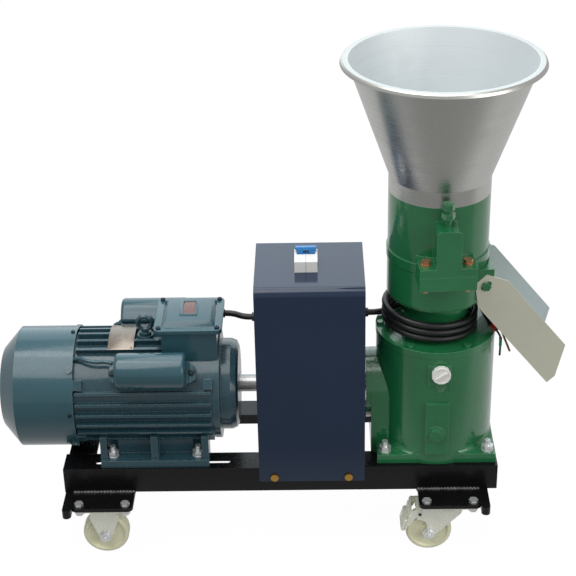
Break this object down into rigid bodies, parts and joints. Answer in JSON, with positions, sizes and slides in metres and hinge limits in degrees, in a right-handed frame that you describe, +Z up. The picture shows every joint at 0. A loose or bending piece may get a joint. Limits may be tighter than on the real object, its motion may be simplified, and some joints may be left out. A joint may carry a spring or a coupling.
{
  "type": "feed pellet mill",
  "caption": "Flat-die pellet mill: ribbed motor, guarded jaw coupling, bevel gearbox, roller head, cone hopper and open chute on a steel frame with casters.",
  "frame": {"origin": "on the floor under the middle of the machine's overall length and width", "axes": "+Z up, +X from the motor's fan cover towards the outlet chute, the operator stands at -Y"},
  "size_m": [0.9064, 0.31, 0.808],
  "materials": {
    "frame_paint": "semi-gloss black",
    "fastener_zinc": "bright zinc",
    "motor_paint": "gloss blue-grey enamel",
    "stator_iron": "laminated core with varnished winding ends",
    "shaft_steel": "ground",
    "gear_steel": "machined, oiled",
    "bearing_steel": "polished",
    "rotor_steel": "machined",
    "fan_plastic": "black",
    "lead_rubber": "matte black sheath",
    "core_plastic": "brown and black cores with a red end sleeve",
    "guard_paint": "gloss dark navy",
    "screw_brass": "yellow zinc",
    "breaker_plastic": "white and grey",
    "toggle_plastic": "blue",
    "gearbox_paint": "gloss deep green",
    "cap_plastic": "white",
    "bolt_copper": "yellow-red plating",
    "die_steel": "ground, hardened",
    "hopper_metal": "spun, bright",
    "chute_metal": "galvanised",
    "caster_zinc": "bright zinc",
    "coupling_iron": "machined",
    "spider_rubber": "red polyurethane",
    "wheel_nylon": "pale yellow nylon"
  },
  "bodies": {
    "chassis": {"front_rail": "frame_paint", "rear_rail": "frame_paint", "cross_members": "frame_paint", "frame_bolts": "fastener_zinc", "motor_housing": "motor_paint", "stator": "stator_iron", "drive_end_shield": "motor_paint", "rear_end_shield": "motor_paint", "fan_cover": "motor_paint", "motor_bearings": "bearing_steel", "terminal_box": "motor_paint", "terminal_box_lid": "motor_paint", "start_capacitor_cover": "motor_paint", "run_capacitor_cover": "motor_paint", "lifting_eye": "motor_paint", "motor_lead": "lead_rubber", "coupling_guard": "guard_paint", "guard_screws": "screw_brass", "breaker_body": "breaker_plastic", "cable_glands": "lead_rubber", "gearbox_case": "gearbox_paint", "gearbox_cover": "gearbox_paint", "input_bearing_cap": "gearbox_paint", "oil_filler_cap": "cap_plastic", "drain_plug": "gearbox_paint", "gearbox_bolts": "gearbox_paint", "gearbox_bearings": "bearing_steel", "die_chamber": "gearbox_paint", "feed_chamber": "gearbox_paint", "head_bolts": "bolt_copper", "adjusting_bolts": "gearbox_paint", "roller_axle": "shaft_steel", "pellet_knife": "die_steel", "hopper": "hopper_metal", "outlet_chute": "chute_metal", "mains_lead": "lead_rubber", "lead_cores": "core_plastic", "caster_housings": "caster_zinc"},
    "drive_line": {"motor_shaft": "shaft_steel", "rotor_core": "rotor_steel", "cooling_fan": "fan_plastic", "motor_coupling_half": "coupling_iron", "coupling_spider": "spider_rubber", "gearbox_coupling_half": "coupling_iron", "pinion_shaft": "shaft_steel"},
    "die_shaft": {"main_shaft": "shaft_steel", "crown_gear": "gear_steel", "flat_die": "die_steel", "discharge_plate": "die_steel"},
    "front_roller": {"front_roller": "die_steel"},
    "rear_roller": {"rear_roller": "die_steel"},
    "breaker_toggle": {"breaker_toggle": "toggle_plastic"},
    "front_left_wheel": {"front_left_wheel": "wheel_nylon"},
    "rear_left_wheel": {"rear_left_wheel": "wheel_nylon"},
    "front_fork": {"front_swivel_fork": "caster_zinc"},
    "rear_fork": {"rear_swivel_fork": "caster_zinc"},
    "front_right_wheel": {"front_right_wheel": "wheel_nylon"},
    "rear_right_wheel": {"rear_right_wheel": "wheel_nylon"},
    "front_pedal": {"front_brake_pedal": "caster_zinc"},
    "rear_pedal": {"rear_brake_pedal": "caster_zinc"}
  },
  "joints": [
    {"name": "drive_spin", "type": "hinge", "parent": "chassis", "child": "drive_line", "pos_m": [0.05076, 0, 0.249], "axis": [1, 0, 0], "continuous": true},
    {"name": "die_spin", "type": "hinge", "parent": "chassis", "child": "die_shaft", "pos_m": [0.25076, 0, 0.3], "axis": [0, 0, 1], "continuous": true},
    {"name": "front_roller_spin", "type": "hinge", "parent": "chassis", "child": "front_roller", "pos_m": [0.25076, 0, 0.5399], "axis": [-0.061, 0.9981, 0], "continuous": true},
    {"name": "rear_roller_spin", "type": "hinge", "parent": "chassis", "child": "rear_roller", "pos_m": [0.25076, 0, 0.5399], "axis": [-0.061, 0.9981, 0], "continuous": true},
    {"name": "breaker_switch", "type": "hinge", "parent": "chassis", "child": "breaker_toggle", "pos_m": [0.04351, -0.008, 0.486], "axis": [1, 0, 0], "range_deg": [0, 24]},
    {"name": "front_left_wheel_spin", "type": "hinge", "parent": "chassis", "child": "front_left_wheel", "pos_m": [-0.29224, -0.113, 0.0375], "axis": [0, 1, 0], "continuous": true},
    {"name": "rear_left_wheel_spin", "type": "hinge", "parent": "chassis", "child": "rear_left_wheel", "pos_m": [-0.29224, 0.113, 0.0375], "axis": [0, 1, 0], "continuous": true},
    {"name": "front_swivel", "type": "hinge", "parent": "chassis", "child": "front_fork", "pos_m": [0.27076, -0.113, 0.088], "axis": [0, 0, 1], "continuous": true},
    {"name": "rear_swivel", "type": "hinge", "parent": "chassis", "child": "rear_fork", "pos_m": [0.27076, 0.113, 0.088], "axis": [0, 0, 1], "continuous": true},
    {"name": "front_right_wheel_spin", "type": "hinge", "parent": "front_fork", "child": "front_right_wheel", "pos_m": [0.23876, -0.113, 0.0375], "axis": [0, 1, 0], "continuous": true},
    {"name": "rear_right_wheel_spin", "type": "hinge", "parent": "rear_fork", "child": "rear_right_wheel", "pos_m": [0.23876, 0.113, 0.0375], "axis": [0, 1, 0], "continuous": true},
    {"name": "front_brake", "type": "hinge", "parent": "front_fork", "child": "front_pedal", "pos_m": [0.22301, -0.113, 0.078], "axis": [0, 1, 0], "range_deg": [0, 15]},
    {"name": "rear_brake", "type": "hinge", "parent": "rear_fork", "child": "rear_pedal", "pos_m": [0.22301, 0.113, 0.078], "axis": [0, 1, 0], "range_deg": [0, 15]}
  ],
  "couplings": [
    {"joint": "die_spin", "follows": "drive_spin", "ratio": -0.25},
    {"joint": "front_roller_spin", "follows": "drive_spin", "ratio": 0.27431},
    {"joint": "rear_roller_spin", "follows": "drive_spin", "ratio": -0.27431}
  ]
}
